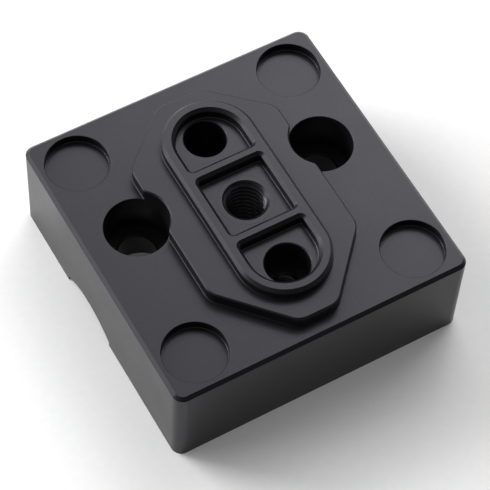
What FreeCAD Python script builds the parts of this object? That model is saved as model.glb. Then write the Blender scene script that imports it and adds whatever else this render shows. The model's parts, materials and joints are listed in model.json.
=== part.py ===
import FreeCAD, Part
import math
import os

# A square mounting block with a raised octagonal plate and a stadium-shaped locating key let into
# its top. Millimetres. The origin is the middle of the underside, +Z is up, and the two large
# counterbored holes lie along X.

# ---- Block ----
block_width = 72.0
block_depth = 72.0
block_height = 24.8
corner_radius = 2.5
top_chamfer = 0.8

# ---- Four round recesses in the top face ----
recess_diameter = 14.5
recess_depth = 2.2
recess_floor_radius = 0.2
rim_edge_break = 0.12
recess_edge_inset = 9.1

# ---- Two fixing holes, counterbored from above and relieved from below ----
fixing_hole_spacing = 46.3
fixing_hole_offset_y = 6.1
fixing_hole_diameter = 9.0
counterbore_diameter = 14.6
counterbore_depth = 11.0
fixing_web_thickness = 6.0
relief_diameter = 13.5
web_edge_break = 0.35

# ---- Arched channel across the underside, below the fixing holes ----
channel_offset_y = 5.0
channel_width = 19.4
channel_side_height = 1.2
channel_crown_rise = 3.3

# ---- Raised octagonal plate ----
raised_offset_y = -0.7
plate_width = 36.8
plate_front_length = 31.6
plate_front_side = 16.7
plate_front_end_width = 9.4
plate_back_length = 30.6
plate_back_side = 18.8
plate_back_end_width = 11.0
plate_rise = 3.2
plate_sink = 4.0
plate_corner_radius = 4.5
plate_edge_break = 0.3
scallop_corner_radius = 1.6

# ---- Locating key: a stadium with three windows between a rim and two cross bars ----
key_width = 21.6
key_length = 53.4
key_rise = 2.8
key_chamfer = 0.7
rim_flat_width = 1.5
bar_flat_width = 1.3
middle_window_length = 16.9
window_chamfer = 0.75
window_corner_radius = 0.8
window_floor_radius = 0.35

# ---- Foot of the raised walls: a small bevel on the plate, round itself and round the key ----
foot_width = 0.15
foot_land = 0.03

# ---- Holes through the key and the bushes in them ----
key_hole_spacing = 18.2
upper_hole_diameter = 9.5
lower_hole_diameter = 10.1
upper_hole_depth = 13.7
lower_hole_depth = 9.2
hole_edge_break = 0.25
flange_seat_height = 8.0
flange_thickness = 3.0
centre_bush_diameter = 12.5
centre_flange_diameter = 15.0
centre_tap_drill = 8.5
centre_countersink_diameter = 10.4
end_bush_diameter = 12.0
end_flange_diameter = 14.5
end_tap_drill = 5.0
end_countersink_diameter = 6.6

# ---- Clamp screws, driven from below: four hold the plate and four hold the key ----
screw_diameter = 3.0
screw_head_diameter = 5.5
screw_head_height = 3.0
screw_hex_width = 2.5
screw_hex_depth = 1.4
screw_grip = 5.5
screw_thread_runout = 0.6
screw_head_bore_diameter = 6.2
plate_screw_inset_y = 2.0
key_screw_inset_x = 3.6

# ---- Dowel pins between the block and the plate ----
dowel_diameter = 3.0
dowel_length = 12.0
dowel_edge_break = 0.3

# ---- Fits ----
sliding_clearance = 0.02
shank_clearance = 0.15
flange_clearance = 0.1

# ---- Heights and places worked out from the sizes above ----
plate_seat_z = block_height - plate_sink
plate_top_z = block_height + plate_rise
key_top_z = plate_top_z + key_rise
counterbore_floor_z = block_height - counterbore_depth
web_underside_z = counterbore_floor_z - fixing_web_thickness
channel_top_z = channel_side_height + channel_crown_rise
screw_end_z = plate_seat_z + screw_grip
dowel_end_z = plate_seat_z + dowel_length / 2
plate_rail_x = (key_width + plate_width) / 4
plate_screw_y = plate_front_side - plate_screw_inset_y
dowel_y = plate_front_side / 2
key_screw_x = key_width / 2 - key_screw_inset_x
key_screw_y = (middle_window_length + bar_flat_width) / 2
upper_hole_y = raised_offset_y + key_hole_spacing
lower_hole_y = raised_offset_y - key_hole_spacing
upper_hole_floor_z = plate_top_z - upper_hole_depth
lower_hole_floor_z = plate_top_z - lower_hole_depth

Z_AXIS = FreeCAD.Vector(0, 0, 1)
TINY = 1e-4
SHARP_CORNERS = 2
OVERSHOOT = 5.0


def cylinder(diameter, z_low, z_high, x=0.0, y=0.0):
    """An upright cylinder between two heights."""
    return Part.makeCylinder(diameter / 2, z_high - z_low, FreeCAD.Vector(x, y, z_low), Z_AXIS)


def cone(low_diameter, high_diameter, z_low, z_high, x=0.0, y=0.0):
    """An upright cone between two heights."""
    foot = FreeCAD.Vector(x, y, z_low)
    return Part.makeCone(low_diameter / 2, high_diameter / 2, z_high - z_low, foot, Z_AXIS)


def prism(wire, z_low, z_high):
    """A flat outline drawn at height 0, extruded between two heights."""
    solid = Part.Face(wire).extrude(FreeCAD.Vector(0, 0, z_high - z_low))
    solid.translate(FreeCAD.Vector(0, 0, z_low))
    return solid


def straight_outline(points):
    """A closed outline of straight lines through (x, y) points."""
    corners = [FreeCAD.Vector(x, y, 0) for x, y in points]
    return Part.makePolygon(corners + corners[:1])


def stadium_outline(half_width, half_length):
    """A stadium along Y: two straight sides and two half circles."""
    turn = half_length - half_width
    right_low = FreeCAD.Vector(half_width, raised_offset_y - turn, 0)
    right_high = FreeCAD.Vector(half_width, raised_offset_y + turn, 0)
    left_high = FreeCAD.Vector(-half_width, raised_offset_y + turn, 0)
    left_low = FreeCAD.Vector(-half_width, raised_offset_y - turn, 0)
    top = FreeCAD.Vector(0, raised_offset_y + half_length, 0)
    bottom = FreeCAD.Vector(0, raised_offset_y - half_length, 0)
    edges = [
        Part.LineSegment(right_low, right_high).toShape(),
        Part.Arc(right_high, top, left_high).toShape(),
        Part.LineSegment(left_high, left_low).toShape(),
        Part.Arc(left_low, bottom, right_low).toShape(),
    ]
    return Part.Wire(edges)


def edges_at_height(solid, z):
    """The edges of a solid that lie flat at one height."""
    return [e for e in solid.Edges if abs(e.BoundBox.ZMin - z) < TINY and abs(e.BoundBox.ZMax - z) < TINY]


def upright_edges(solid):
    """The straight edges of a solid that run along Z."""
    return [e for e in solid.Edges if e.BoundBox.XLength < TINY and e.BoundBox.YLength < TINY]


def fuse_all(solids):
    """One solid out of several that touch or overlap."""
    result = solids[0]
    if len(solids) > 1:
        result = result.fuse(solids[1:])
    return result.removeSplitter()


def mirrored_places(x, y, centre_y=0.0):
    """Four places, mirrored about X and about a line parallel to X."""
    return [(side * x, centre_y + end * y) for side in (-1, 1) for end in (-1, 1)]


def fixing_hole_places():
    """The two fixing holes, either side of the raised plate."""
    return [(side * fixing_hole_spacing / 2, fixing_hole_offset_y) for side in (-1, 1)]


def recess_places():
    """The four recesses, the same distance in from both edges."""
    return mirrored_places(block_width / 2 - recess_edge_inset, block_depth / 2 - recess_edge_inset)


def plate_screw_places():
    """The four screws into the plate, midway between its long sides and the key's."""
    return mirrored_places(plate_rail_x, plate_screw_y, raised_offset_y)


def key_screw_places():
    """The four screws into the key, below where its cross bars meet its rim."""
    return mirrored_places(key_screw_x, key_screw_y, raised_offset_y)


def dowel_places():
    """The two dowel pins, both on one side of the middle, so that the plate goes on one way round."""
    return [(side * plate_rail_x, raised_offset_y - dowel_y) for side in (-1, 1)]


def plate_outline(grow):
    """The plate's octagon with sharp corners, every side moved out by grow. It is a little longer
    and narrower in front of the key's middle than behind it."""
    right = [
        (plate_front_end_width / 2, -plate_front_length),
        (plate_width / 2, -plate_front_side),
        (plate_width / 2, plate_back_side),
        (plate_back_end_width / 2, plate_back_length),
    ]
    points = right + [(-x, y) for x, y in reversed(right)]
    outline = straight_outline([(x, y + raised_offset_y) for x, y in points])
    return outline.makeOffset2D(grow, SHARP_CORNERS) if grow else outline


def plate_prism(grow, z_low, z_high):
    """The octagon with its upright corners rounded, between two heights."""
    solid = prism(plate_outline(grow), z_low, z_high)
    return solid.makeFillet(plate_corner_radius + grow, upright_edges(solid))


def key_prism(grow, z_low, z_high):
    """The key's stadium, moved out by grow, between two heights."""
    return prism(stadium_outline(key_width / 2 + grow, key_length / 2 + grow), z_low, z_high)


def foot_bevel(make_prism, z):
    """The bevel round the foot of a raised wall, from a thin land up to the wall."""
    solid = make_prism(foot_width, z, z + foot_land + foot_width)
    top_edges = edges_at_height(solid, z + foot_land + foot_width)
    return solid.makeChamfer(foot_width - TINY, top_edges)


def counterbore_tools():
    """The upper counterbores of the fixing holes, open upwards."""
    return [cylinder(counterbore_diameter, counterbore_floor_z, key_top_z, x, y)
            for x, y in fixing_hole_places()]


def fixing_hole_tool(x, y):
    """One fixing hole: a counterbore, a web with broken edges, and a relief from below."""
    wide = fixing_hole_diameter + 2 * web_edge_break
    return fuse_all([
        cylinder(counterbore_diameter, counterbore_floor_z, key_top_z, x, y),
        cylinder(fixing_hole_diameter, 0, key_top_z, x, y),
        cylinder(relief_diameter, -OVERSHOOT, web_underside_z, x, y),
        rim_tool(counterbore_diameter, x, y),
        cone(fixing_hole_diameter, wide, counterbore_floor_z - web_edge_break, counterbore_floor_z, x, y),
        cone(wide, fixing_hole_diameter, web_underside_z, web_underside_z + web_edge_break, x, y),
    ])


def rim_tool(diameter, x, y):
    """The broken edge where a round hole meets the block's top face."""
    wide = diameter + 2 * rim_edge_break
    return cone(diameter, wide, block_height - rim_edge_break, block_height, x, y)


def recess_tool(x, y):
    """One recess, with a rounded foot and a broken rim."""
    solid = cylinder(recess_diameter, block_height - recess_depth, block_height + OVERSHOOT, x, y)
    solid = solid.makeFillet(recess_floor_radius, edges_at_height(solid, block_height - recess_depth))
    return solid.fuse(rim_tool(recess_diameter, x, y))


def channel_tool():
    """The arched channel right across the underside: two short sides and an arc."""
    half = channel_width / 2
    outline = [
        FreeCAD.Vector(0, channel_offset_y - half, -OVERSHOOT),
        FreeCAD.Vector(0, channel_offset_y - half, channel_side_height),
        FreeCAD.Vector(0, channel_offset_y, channel_top_z),
        FreeCAD.Vector(0, channel_offset_y + half, channel_side_height),
        FreeCAD.Vector(0, channel_offset_y + half, -OVERSHOOT),
    ]
    edges = [
        Part.LineSegment(outline[0], outline[1]).toShape(),
        Part.Arc(outline[1], outline[2], outline[3]).toShape(),
        Part.LineSegment(outline[3], outline[4]).toShape(),
        Part.LineSegment(outline[4], outline[0]).toShape(),
    ]
    solid = Part.Face(Part.Wire(edges)).extrude(FreeCAD.Vector(block_width + 2 * OVERSHOOT, 0, 0))
    solid.translate(FreeCAD.Vector(-block_width / 2 - OVERSHOOT, 0, 0))
    return solid


def bush_hole_tool(y, body_diameter, body_top_z, flange_diameter):
    """A hole for a flanged bush that goes in from below, as high as the bush's top."""
    return fuse_all([
        cylinder(body_diameter + 2 * sliding_clearance, -OVERSHOOT, body_top_z, 0, y),
        cylinder(flange_diameter + 2 * flange_clearance, -OVERSHOOT, flange_seat_height, 0, y),
    ])


def key_hole_tools():
    """The holes on the key's centre line: the bushes' holes, and the two narrower ones above."""
    return [
        bush_hole_tool(raised_offset_y, centre_bush_diameter, key_top_z, centre_flange_diameter),
        bush_hole_tool(upper_hole_y, end_bush_diameter, upper_hole_floor_z, end_flange_diameter),
        bush_hole_tool(lower_hole_y, end_bush_diameter, lower_hole_floor_z, end_flange_diameter),
        cylinder(upper_hole_diameter, flange_seat_height, key_top_z, 0, upper_hole_y),
        cylinder(lower_hole_diameter, flange_seat_height, key_top_z, 0, lower_hole_y),
    ]


def screw_clearance_tool(x, y):
    """The block's hole for one clamp screw: a head bore and a clearance hole."""
    return fuse_all([
        cylinder(screw_head_bore_diameter, -OVERSHOOT, flange_seat_height, x, y),
        cylinder(screw_diameter + 2 * shank_clearance, 0, plate_seat_z + OVERSHOOT, x, y),
    ])


def screw_thread_tool(x, y):
    """The tapped hole that takes the end of one clamp screw."""
    return cylinder(screw_diameter + 2 * sliding_clearance, 0, screw_end_z + screw_thread_runout, x, y)


def dowel_hole_tool(x, y):
    """The hole that one dowel pin fills, in the block and in the plate."""
    low = plate_seat_z - dowel_length / 2
    return cylinder(dowel_diameter + 2 * sliding_clearance, low, dowel_end_z + sliding_clearance, x, y)


def base_block():
    """The square block, with its chamfered top edge, pockets and holes."""
    corner = FreeCAD.Vector(-block_width / 2, -block_depth / 2, 0)
    solid = Part.makeBox(block_width, block_depth, block_height, corner)
    solid = solid.makeFillet(corner_radius, upright_edges(solid))
    solid = solid.makeChamfer(top_chamfer, edges_at_height(solid, block_height))
    tools = [plate_prism(sliding_clearance, plate_seat_z, block_height + OVERSHOOT), channel_tool()]
    tools += [fixing_hole_tool(x, y) for x, y in fixing_hole_places()]
    tools += [recess_tool(x, y) for x, y in recess_places()]
    tools += [screw_clearance_tool(x, y) for x, y in plate_screw_places() + key_screw_places()]
    tools += [dowel_hole_tool(x, y) for x, y in dowel_places()]
    tools += key_hole_tools()
    return solid.cut(tools)


def scallop_corners(solid):
    """The upright corners where a counterbore runs out through the plate's long sides."""
    return [e for e in upright_edges(solid) if abs(abs(e.BoundBox.XMin) - plate_width / 2) < TINY
            and abs(e.BoundBox.YMin - fixing_hole_offset_y) < counterbore_diameter / 2]


def raised_plate():
    """The octagonal plate: let into the block, with a stadium opening that holds the key."""
    buried = plate_prism(0.0, plate_seat_z, block_height).cut(counterbore_tools())
    raised = plate_prism(0.0, block_height, plate_top_z).cut(counterbore_tools())
    raised = raised.makeFillet(scallop_corner_radius, scallop_corners(raised))
    raised = raised.makeChamfer(plate_edge_break, edges_at_height(raised, plate_top_z))
    own_foot = foot_bevel(plate_prism, block_height).cut(counterbore_tools())
    key_foot = foot_bevel(key_prism, plate_top_z)
    tools = [key_prism(sliding_clearance, plate_seat_z - OVERSHOOT, key_top_z)]
    tools += [screw_thread_tool(x, y) for x, y in plate_screw_places()]
    tools += [dowel_hole_tool(x, y) for x, y in dowel_places()]
    return fuse_all([buried, raised, own_foot, key_foot]).cut(tools)


def middle_window():
    """The square window at the foot of its walls."""
    half_x = key_width / 2 - key_chamfer - rim_flat_width - window_chamfer
    half_y = middle_window_length / 2 - window_chamfer
    corners = [(half_x, -half_y), (half_x, half_y), (-half_x, half_y), (-half_x, -half_y)]
    return straight_outline([(x, y + raised_offset_y) for x, y in corners])


def end_window(end):
    """The D-shaped window at one end (+1 or -1), its round side inside the rim's."""
    half_x = key_width / 2 - key_chamfer - rim_flat_width - window_chamfer
    start = middle_window_length / 2 + bar_flat_width + window_chamfer
    turn = key_length / 2 - key_width / 2
    inner_left = FreeCAD.Vector(-half_x, raised_offset_y + end * start, 0)
    inner_right = FreeCAD.Vector(half_x, raised_offset_y + end * start, 0)
    outer_right = FreeCAD.Vector(half_x, raised_offset_y + end * turn, 0)
    outer_left = FreeCAD.Vector(-half_x, raised_offset_y + end * turn, 0)
    crown = FreeCAD.Vector(0, raised_offset_y + end * (turn + half_x), 0)
    edges = [
        Part.LineSegment(inner_left, inner_right).toShape(),
        Part.LineSegment(inner_right, outer_right).toShape(),
        Part.Arc(outer_right, crown, outer_left).toShape(),
        Part.LineSegment(outer_left, inner_left).toShape(),
    ]
    return Part.Wire(edges)


def window_tool(outline):
    """One window's space: rounded upright corners, a rounded foot and a flat floor."""
    solid = prism(outline, plate_top_z, key_top_z + OVERSHOOT)
    sharp = [e for e in upright_edges(solid) if is_square_corner(e, solid)]
    solid = solid.makeFillet(window_corner_radius, sharp)
    return solid.makeFillet(window_floor_radius, edges_at_height(solid, plate_top_z))


def is_square_corner(edge, solid):
    """Whether an upright edge is a corner, and not where a flat side runs into a round one."""
    walls = solid.ancestorsOfType(edge, Part.Face)
    normals = [wall.normalAt(*wall.Surface.parameter(edge.CenterOfMass)) for wall in walls]
    return abs(normals[0].dot(normals[1])) < TINY


def hole_edge_tool(y, diameter):
    """The broken edge where an end hole meets its window's floor."""
    return cone(diameter, diameter + 2 * hole_edge_break, plate_top_z - hole_edge_break, plate_top_z, 0, y)


def locating_key():
    """The stadium key: chamfered rim, two cross bars, three windows and three holes."""
    solid = key_prism(0.0, plate_seat_z, key_top_z)
    solid = solid.makeChamfer(key_chamfer, edges_at_height(solid, key_top_z))
    windows = [window_tool(outline) for outline in (middle_window(), end_window(1), end_window(-1))]
    rim = solid.cut(windows)
    outer = key_width / 2 - key_chamfer
    opening_edges = [e for e in edges_at_height(rim, key_top_z) if is_window_edge(e, outer)]
    rim = rim.makeChamfer(window_chamfer, opening_edges)
    tools = key_hole_tools() + [screw_thread_tool(x, y) for x, y in key_screw_places()]
    tools += windows
    tools.append(hole_edge_tool(upper_hole_y, upper_hole_diameter))
    tools.append(hole_edge_tool(lower_hole_y, lower_hole_diameter))
    return rim.cut(tools)


def is_window_edge(edge, outer):
    """Whether a top edge belongs to a window and not to the rim's outer side."""
    middle = edge.valueAt((edge.FirstParameter + edge.LastParameter) / 2)
    turn = key_length / 2 - key_width / 2
    beyond = max(0.0, abs(middle.y - raised_offset_y) - turn)
    return math.hypot(middle.x, beyond) < outer - TINY


def bush(y, body_diameter, top_z, flange_diameter, tap_drill, countersink_diameter):
    """A flanged bush, tapped right through and countersunk at both ends."""
    low = flange_seat_height - flange_thickness
    depth = (countersink_diameter - tap_drill) / 2
    solid = fuse_all([
        cylinder(flange_diameter, low, flange_seat_height, 0, y),
        cylinder(body_diameter, low, top_z, 0, y),
    ])
    return solid.cut([
        cylinder(tap_drill, low, top_z, 0, y),
        cone(tap_drill, countersink_diameter, top_z - depth, top_z, 0, y),
        cone(countersink_diameter, tap_drill, low, low + depth, 0, y),
    ])


def centre_bush():
    """The large tapped bush, its top level with the floor of the middle window."""
    return bush(raised_offset_y, centre_bush_diameter, plate_top_z, centre_flange_diameter,
                centre_tap_drill, centre_countersink_diameter)


def upper_bush():
    """The small tapped bush at the bottom of the upper hole."""
    return bush(upper_hole_y, end_bush_diameter, upper_hole_floor_z, end_flange_diameter,
                end_tap_drill, end_countersink_diameter)


def lower_bush():
    """The small tapped bush at the bottom of the lower hole."""
    return bush(lower_hole_y, end_bush_diameter, lower_hole_floor_z, end_flange_diameter,
                end_tap_drill, end_countersink_diameter)


def clamp_screw(x, y):
    """One hexagon-socket cap screw, its head downwards."""
    head_z = flange_seat_height - screw_head_height
    solid = fuse_all([
        cylinder(screw_head_diameter, head_z, flange_seat_height, x, y),
        cylinder(screw_diameter, head_z, screw_end_z, x, y),
    ])
    corner = screw_hex_width / math.sqrt(3)
    hexagon = [(x + corner * math.cos(turn * math.pi / 3), y + corner * math.sin(turn * math.pi / 3))
               for turn in range(6)]
    return solid.cut(prism(straight_outline(hexagon), head_z, head_z + screw_hex_depth))


def clamp_screws():
    """All eight clamp screws, as separate solids."""
    return Part.makeCompound([clamp_screw(x, y) for x, y in plate_screw_places() + key_screw_places()])


def dowel_pin(x, y):
    """One dowel pin with chamfered ends."""
    low = plate_seat_z - dowel_length / 2
    solid = cylinder(dowel_diameter, low, dowel_end_z, x, y)
    ends = edges_at_height(solid, low) + edges_at_height(solid, dowel_end_z)
    return solid.makeChamfer(dowel_edge_break, ends)


def dowel_pins():
    """Both dowel pins, as separate solids."""
    return Part.makeCompound([dowel_pin(x, y) for x, y in dowel_places()])


PARTS = {
    "base_block": base_block,
    "raised_plate": raised_plate,
    "locating_key": locating_key,
    "centre_bush": centre_bush,
    "upper_bush": upper_bush,
    "lower_bush": lower_bush,
    "clamp_screws": clamp_screws,
    "dowel_pins": dowel_pins,
}


def main():
    os.makedirs("parts", exist_ok=True)
    for name, make in PARTS.items():
        shape = make()
        shape.exportStep("parts/" + name + ".step")
        print(name, len(shape.Solids), shape.isValid(), round(shape.Volume, 1), shape.BoundBox)


main()
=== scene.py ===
import json
import math

import bpy
import numpy as np
from mathutils import Matrix, Vector


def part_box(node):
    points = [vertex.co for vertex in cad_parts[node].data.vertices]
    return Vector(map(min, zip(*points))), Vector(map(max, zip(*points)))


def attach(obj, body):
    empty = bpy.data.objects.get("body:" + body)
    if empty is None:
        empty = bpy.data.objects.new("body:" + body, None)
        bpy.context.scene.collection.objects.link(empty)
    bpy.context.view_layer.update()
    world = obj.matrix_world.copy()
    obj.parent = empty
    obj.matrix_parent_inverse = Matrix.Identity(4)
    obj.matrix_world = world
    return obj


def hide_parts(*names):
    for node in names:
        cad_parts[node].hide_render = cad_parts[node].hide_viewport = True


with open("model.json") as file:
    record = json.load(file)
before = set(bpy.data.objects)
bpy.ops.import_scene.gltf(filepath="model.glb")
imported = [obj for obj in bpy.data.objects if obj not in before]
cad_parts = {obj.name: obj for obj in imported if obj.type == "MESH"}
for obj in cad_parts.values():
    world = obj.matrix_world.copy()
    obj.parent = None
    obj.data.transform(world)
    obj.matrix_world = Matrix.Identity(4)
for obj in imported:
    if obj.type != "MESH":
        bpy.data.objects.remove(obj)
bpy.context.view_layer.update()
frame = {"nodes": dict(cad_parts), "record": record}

# A square mounting block in black anodised aluminium, with a raised octagonal plate and a
# stadium-shaped locating key. Everything is in metres; sizes named _MM are in millimetres.

MM = 0.001

# ---------------------------------------------------------------- sizes

# Finishes: the real size of what gives each surface its grain
BEAD_DENT_MM = 0.28             # real dents are about 0.1 mm; drawn coarser, so that they show
BEAD_DENT_DEPTH_MM = 0.03
DYE_CLOUD_MM = 9.0              # patches where the black dye took a little more or less
EDGE_BREAK_MM = 0.05            # edges are dulled by the beads, not left sharp
TOOL_MARK_MM = 1.25             # real feed marks are about 0.2 mm; drawn coarser, so that they show
TOOL_MARK_DEPTH_MM = 0.01
OXIDE_STAIN_MM = 1.5
ACRYLIC_HAZE_MM = 2.0
WAVE_NODE_PERIOD = math.pi / 10     # length of one wave of Blender's wave texture at scale 1

# Threaded bushes
FLANGE_THICKNESS_MM = 3.0
FLANGE_EDGE_MM = 0.1
THREAD_DEPTH_RATIO = 0.5413     # depth of an ISO internal thread, as a share of its pitch
CREST_WIDTH_RATIO = 0.25        # width of the flat crest, as a share of the pitch
ROOT_WIDTH_RATIO = 0.125        # width of the flat root, likewise
THREAD_COLUMNS = 96
THREAD_ROWS_PER_TURN = 14
SHARP_EDGE_DEGREES = 35

# CAD node: name of the new piece, slot, and pitch, thread, countersink and body diameters in mm
BUSHES = {
    "centre_bush": ("centre_threaded_bush", "black_anodised", 1.5, 10.0, 10.4, 12.53),
    "upper_bush": ("upper_threaded_bush", "black_oxide_steel", 1.0, 6.0, 6.6, 12.0),
    "lower_bush": ("lower_threaded_bush", "black_oxide_steel", 1.0, 6.0, 6.6, 12.0),
}

# Floor and light
FLOOR_HALF_M = 4.0
FLOOR_CELLS = 8
TABLE_GLOW = 0.05
SKY_IN_FRONT = 0.05
SKY_BEHIND = 0.55
SKY_TURNS_FULL_AT = 0.6         # how far to the back, from -1 to 1, the sky is at its brightest

# name: azimuth and elevation in degrees, width and height in metres, power in watts
SOFT_BOXES = {
    "back_soft_box": (215, 30, 0.5, 0.4, 9.2),
    "left_soft_box": (243, 18, 0.5, 0.3, 1.8),
    "right_soft_box": (120, 45, 0.5, 0.5, 2.4),
    "back_right_soft_box": (150, 45, 0.5, 0.5, 2.1),
    "overhead_soft_box": (135, 60, 0.6, 0.6, 0.8),
}
SOFT_BOX_DISTANCE_M = 1.0

# Camera
SENSOR_MM = 36.0
LENS_MM = 167.9
CAMERA_TURN = math.radians(33.02)
CAMERA_DROP = math.radians(58.49)
CAMERA_ROLL = math.radians(4.11)
CAMERA_DISTANCE_MM = 493.6
CAMERA_AIM_MM = (-4.73, -8.92, 24.8)


# ---------------------------------------------------------------- small helpers

def linear(hex_colour):
    """An sRGB hex colour as linear RGBA."""
    channels = [int(hex_colour[i:i + 2], 16) / 255 for i in (1, 3, 5)]
    return tuple(c / 12.92 if c <= 0.04045 else ((c + 0.055) / 1.055) ** 2.4 for c in channels) + (1.0,)


def add_node(tree, kind, links=(), **settings):
    """Adds a node. links are (input name, output socket); settings are attributes, or input
    values where the name starts with in_, as in_Scale or in_To_Min."""
    node = tree.nodes.new(kind)
    for name, value in settings.items():
        if name.startswith("in_"):
            node.inputs[name[3:].replace("_", " ")].default_value = value
        else:
            setattr(node, name, value)
    for name, source in links:
        tree.links.new(source, node.inputs[name])
    return node


def new_material(name):
    """A material with nothing in its node tree but a texture coordinate node, its tree, and its place
    on the object in metres."""
    material = bpy.data.materials.new(name)
    material.use_nodes = True
    tree = material.node_tree
    tree.nodes.clear()
    return material, tree, add_node(tree, "ShaderNodeTexCoord").outputs["Object"]


def set_ramp(ramp, *stops):
    """Gives a new colour ramp its two stops, each a position and a hex colour."""
    for element, (position, colour) in zip(ramp.color_ramp.elements, stops):
        element.position = position
        element.color = linear(colour)


def finish_material(material, shader):
    """Joins the shader to the material's output."""
    add_node(material.node_tree, "ShaderNodeOutputMaterial", [("Surface", shader.outputs["BSDF"])])
    return material


def mesh_object(name, points, faces):
    """A smooth mesh object at the origin, from arrays of points and quads."""
    mesh = bpy.data.meshes.new(name)
    mesh.from_pydata(points.reshape(-1, 3).tolist(), [], faces.reshape(-1, 4).tolist())
    mesh.polygons.foreach_set("use_smooth", np.full(len(mesh.polygons), True))
    mesh.update()
    obj = bpy.data.objects.new(name, mesh)
    bpy.context.scene.collection.objects.link(obj)
    return obj


def grid_quads(rows, columns, closed):
    """Quads of a grid of points, rows by columns, that closes on itself both ways or neither."""
    last = 0 if closed else 1
    i, j = np.meshgrid(np.arange(rows - last), np.arange(columns - last), indexing="ij")
    row, next_row = i * columns, (i + 1) % rows * columns
    next_j = (j + 1) % columns
    return np.stack([row + j, next_row + j, next_row + next_j, row + next_j], -1)


# ---------------------------------------------------------------- materials

def black_anodised_aluminium():
    """Aluminium, machined, blasted with fine glass bead and anodised black. The beads leave tiny
    dents, so it has a soft satin sheen with a faint grain and no sharp reflection. The dye is a
    warm black that is a little deeper in some patches than in others."""
    material, tree, place = new_material("bead_blasted_black_anodised_aluminium")
    bead = add_node(tree, "ShaderNodeTexNoise", [("Vector", place)],
                    in_Scale=1 / (BEAD_DENT_MM * MM), in_Detail=3.0, in_Roughness=0.6)
    cloud = add_node(tree, "ShaderNodeTexNoise", [("Vector", place)],
                     in_Scale=1 / (DYE_CLOUD_MM * MM), in_Detail=2.0)
    tone = add_node(tree, "ShaderNodeValToRGB", [("Fac", bead.outputs["Fac"])])
    set_ramp(tone, (0.3, "#2a292c"), (0.7, "#302f34"))
    gloss = add_node(tree, "ShaderNodeMapRange", [("Value", cloud.outputs["Fac"])],
                     in_To_Min=0.31, in_To_Max=0.38)
    edge = add_node(tree, "ShaderNodeBevel", in_Radius=EDGE_BREAK_MM * MM, samples=6)
    dents = add_node(tree, "ShaderNodeBump",
                     [("Height", bead.outputs["Fac"]), ("Normal", edge.outputs["Normal"])],
                     in_Strength=0.12, in_Distance=BEAD_DENT_DEPTH_MM * MM)
    shader = add_node(tree, "ShaderNodeBsdfPrincipled",
                      [("Base Color", tone.outputs["Color"]), ("Roughness", gloss.outputs["Result"]),
                       ("Normal", dents.outputs["Normal"])], in_Metallic=0.75)
    return finish_material(material, shader)


def black_oxide_steel():
    """Free-cutting steel, turned and chemically blackened. The cutter's fine rings stay in the
    surface, so it is a little shinier than the blasted block and catches light along them."""
    material, tree, place = new_material("turned_black_oxide_steel")
    marks = add_node(tree, "ShaderNodeTexWave", [("Vector", place)], bands_direction="Z",
                     in_Scale=WAVE_NODE_PERIOD / (TOOL_MARK_MM * MM), in_Distortion=0.6, in_Detail=2.0)
    stain = add_node(tree, "ShaderNodeTexNoise", [("Vector", place)],
                     in_Scale=1 / (OXIDE_STAIN_MM * MM), in_Detail=4.0)
    tone = add_node(tree, "ShaderNodeValToRGB", [("Fac", stain.outputs["Fac"])])
    set_ramp(tone, (0.35, "#3a3a3c"), (0.7, "#4a494b"))
    gloss = add_node(tree, "ShaderNodeMapRange", [("Value", stain.outputs["Fac"])],
                     in_To_Min=0.26, in_To_Max=0.38)
    rings = add_node(tree, "ShaderNodeBump", [("Height", marks.outputs["Fac"])],
                     in_Strength=0.15, in_Distance=TOOL_MARK_DEPTH_MM * MM)
    shader = add_node(tree, "ShaderNodeBsdfPrincipled",
                      [("Base Color", tone.outputs["Color"]), ("Roughness", gloss.outputs["Result"]),
                       ("Normal", rings.outputs["Normal"])], in_Metallic=1.0)
    return finish_material(material, shader)


def ground_steel():
    """Hardened dowel steel, ground: bright grey, with fine lines round the pin that vary its
    gloss."""
    material, tree, place = new_material("ground_dowel_steel")
    lines = add_node(tree, "ShaderNodeTexWave", [("Vector", place)], bands_direction="Z",
                     in_Scale=WAVE_NODE_PERIOD / (TOOL_MARK_MM * MM), in_Distortion=1.0)
    gloss = add_node(tree, "ShaderNodeMapRange", [("Value", lines.outputs["Fac"])],
                     in_To_Min=0.22, in_To_Max=0.32)
    shader = add_node(tree, "ShaderNodeBsdfPrincipled", [("Roughness", gloss.outputs["Result"])],
                      in_Metallic=1.0, in_Base_Color=linear("#b9b9bb"))
    return finish_material(material, shader)


def light_table():
    """A matt white acrylic sheet, lit faintly from below, with a haze too slight to see as spots."""
    material, tree, place = new_material("matt_white_light_table")
    haze = add_node(tree, "ShaderNodeTexNoise", [("Vector", place)], in_Scale=1 / (ACRYLIC_HAZE_MM * MM))
    tone = add_node(tree, "ShaderNodeValToRGB", [("Fac", haze.outputs["Fac"])])
    set_ramp(tone, (0.0, "#eeeeee"), (1.0, "#f4f4f4"))
    shader = add_node(tree, "ShaderNodeBsdfPrincipled", [("Base Color", tone.outputs["Color"])],
                      in_Roughness=0.9, in_Emission_Color=linear("#ffffff"), in_Emission_Strength=TABLE_GLOW)
    return finish_material(material, shader)


FINISH = {
    "black_anodised": black_anodised_aluminium(),
    "black_oxide_steel": black_oxide_steel(),
    "ground_steel": ground_steel(),
}


# ---------------------------------------------------------------- threaded bushes

def thread_radius(height, turn, pitch, minor, major):
    """Radius of an internal screw thread: a trapezoid wave between the minor and major radius,
    one wave per pitch, that climbs one pitch each turn. From the middle of the crest it is flat,
    then rises in a straight line, and is flat again to the middle of the root."""
    phase = (height / pitch - turn) % 1.0
    from_crest = np.abs(phase - 0.5) * 2
    flank = (from_crest - CREST_WIDTH_RATIO) / (1 - ROOT_WIDTH_RATIO - CREST_WIDTH_RATIO)
    return minor + (major - minor) * np.clip(flank, 0, 1)


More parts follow.
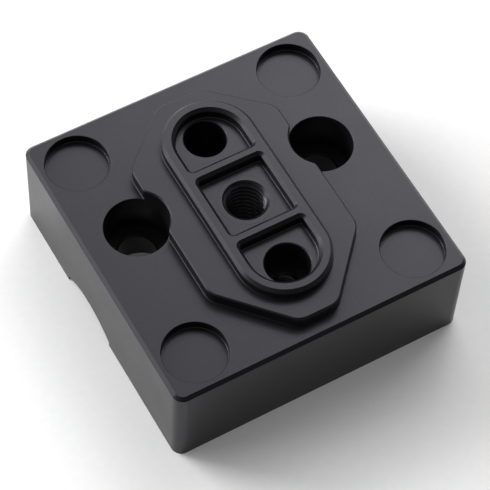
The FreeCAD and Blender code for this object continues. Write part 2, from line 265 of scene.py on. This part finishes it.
def threaded_bush(node, name, slot, pitch_mm, thread_mm, countersink_mm, body_mm):
    """A flanged bush as one closed surface, a ring of points per row: rows climb the threaded
    bore from the bottom countersink to the top one, cross the top face, and come down the body
    and the flange. The bore's radius is the larger of the thread and the 45 degree cones of the
    countersinks."""
    low, high = (Vector(corner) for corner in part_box(node))
    centre = (low + high) / 2
    flange = (high.x - low.x) / 2
    flange_top = low.z + FLANGE_THICKNESS_MM * MM
    edge = FLANGE_EDGE_MM * MM
    body, sink, major = (size / 2 * MM for size in (body_mm, countersink_mm, thread_mm))
    pitch = pitch_mm * MM
    minor = major - THREAD_DEPTH_RATIO * pitch

    turn = np.arange(THREAD_COLUMNS) / THREAD_COLUMNS
    rows = int((high.z - low.z) / pitch * THREAD_ROWS_PER_TURN)
    bore_height = np.linspace(low.z, high.z, rows)[:, None] + np.zeros(THREAD_COLUMNS)
    cones = np.maximum(sink - (bore_height - low.z), sink - (high.z - bore_height))
    bore = np.maximum(thread_radius(bore_height, turn, pitch, minor, major), cones)
    outside = np.array([(body, high.z), (body, flange_top), (flange - edge, flange_top),
                        (flange, flange_top - edge), (flange, low.z + edge), (flange - edge, low.z)])
    full_ring = np.ones(THREAD_COLUMNS)
    radius = np.vstack([bore, outside[:, :1] * full_ring])
    height = np.vstack([bore_height, outside[:, 1:] * full_ring])
    angle = turn * 2 * math.pi
    points = np.stack([centre.x + radius * np.cos(angle), centre.y + radius * np.sin(angle), height], -1)
    faces_outwards = grid_quads(*radius.shape, closed=True)[..., ::-1]

    piece = mesh_object(name, points, faces_outwards)
    piece.data.materials.append(FINISH[slot])
    piece.modifiers.new("edges", "EDGE_SPLIT").split_angle = math.radians(SHARP_EDGE_DEGREES)
    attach(piece, "root")
    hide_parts(node)


# ---------------------------------------------------------------- floor, light and camera

def floor():
    """A pale sheet that lies flat and is far larger than the view."""
    steps = np.linspace(-FLOOR_HALF_M, FLOOR_HALF_M, FLOOR_CELLS + 1)
    x, y = np.meshgrid(steps, steps, indexing="ij")
    points = np.stack([x, y, np.zeros_like(x)], -1)
    sheet = mesh_object("floor", points, grid_quads(*x.shape, closed=False))
    sheet.data.materials.append(light_table())


def soft_box(name, azimuth, elevation, width, height, power):
    """A rectangular light that faces the object, from a compass direction and a height angle in
    degrees. Azimuth 0 is in front of the object, and 90 is to its right."""
    az, el = math.radians(azimuth), math.radians(elevation)
    away = Vector((math.sin(az) * math.cos(el), -math.cos(az) * math.cos(el), math.sin(el)))
    data = bpy.data.lights.new(name, "AREA")
    data.shape = "RECTANGLE"
    data.size = width
    data.size_y = height
    data.energy = power
    lamp = bpy.data.objects.new(name, data)
    lamp.location = away * SOFT_BOX_DISTANCE_M
    lamp.rotation_euler = away.to_track_quat("Z", "Y").to_euler()
    bpy.context.scene.collection.objects.link(lamp)


def studio_world():
    """Dim white light from all round, darker in front of the object than behind it."""
    world = bpy.data.worlds.new("studio")
    world.use_nodes = True
    tree = world.node_tree
    tree.nodes.clear()
    place = add_node(tree, "ShaderNodeTexCoord").outputs["Generated"]
    axes = add_node(tree, "ShaderNodeSeparateXYZ", [("Vector", place)])
    level = add_node(tree, "ShaderNodeMapRange", [("Value", axes.outputs["Y"])], in_From_Min=-1.0,
                     in_From_Max=SKY_TURNS_FULL_AT, in_To_Min=SKY_IN_FRONT, in_To_Max=SKY_BEHIND)
    glow = add_node(tree, "ShaderNodeBackground", [("Strength", level.outputs["Result"])],
                    in_Color=linear("#ffffff"))
    add_node(tree, "ShaderNodeOutputWorld", [("Surface", glow.outputs["Background"])])
    bpy.context.scene.world = world


def product_camera():
    """A long lens above the front left corner, turned a little about its own axis."""
    direction = Vector((math.sin(CAMERA_TURN) * math.cos(CAMERA_DROP),
                        math.cos(CAMERA_TURN) * math.cos(CAMERA_DROP), -math.sin(CAMERA_DROP)))
    level = direction.cross(Vector((0, 0, 1))).normalized()
    over = level.cross(direction)
    right = level * math.cos(CAMERA_ROLL) + over * math.sin(CAMERA_ROLL)
    up = right.cross(direction)
    data = bpy.data.cameras.new("camera")
    data.sensor_width = SENSOR_MM
    data.lens = LENS_MM
    data.clip_start = 0.01
    data.clip_end = 20.0
    camera = bpy.data.objects.new("camera", data)
    place = Matrix((right, up, -direction)).transposed().to_4x4()
    place.translation = Vector(CAMERA_AIM_MM) * MM - direction * CAMERA_DISTANCE_MM * MM
    camera.matrix_world = place
    bpy.context.scene.collection.objects.link(camera)
    bpy.context.scene.camera = camera


# ---------------------------------------------------------------- the scene

for part in frame["record"]["subparts"]:
    for material_slot in frame["nodes"][part["node"]].material_slots:
        material_slot.material = FINISH[part["material_slot"]]

for node, (name, slot, *sizes) in BUSHES.items():
    threaded_bush(node, name, slot, *sizes)

floor()
studio_world()
for name, (azimuth, elevation, width, height, power) in SOFT_BOXES.items():
    soft_box(name, azimuth, elevation, width, height, power)
product_camera()
bpy.context.scene.view_settings.view_transform = "Standard"
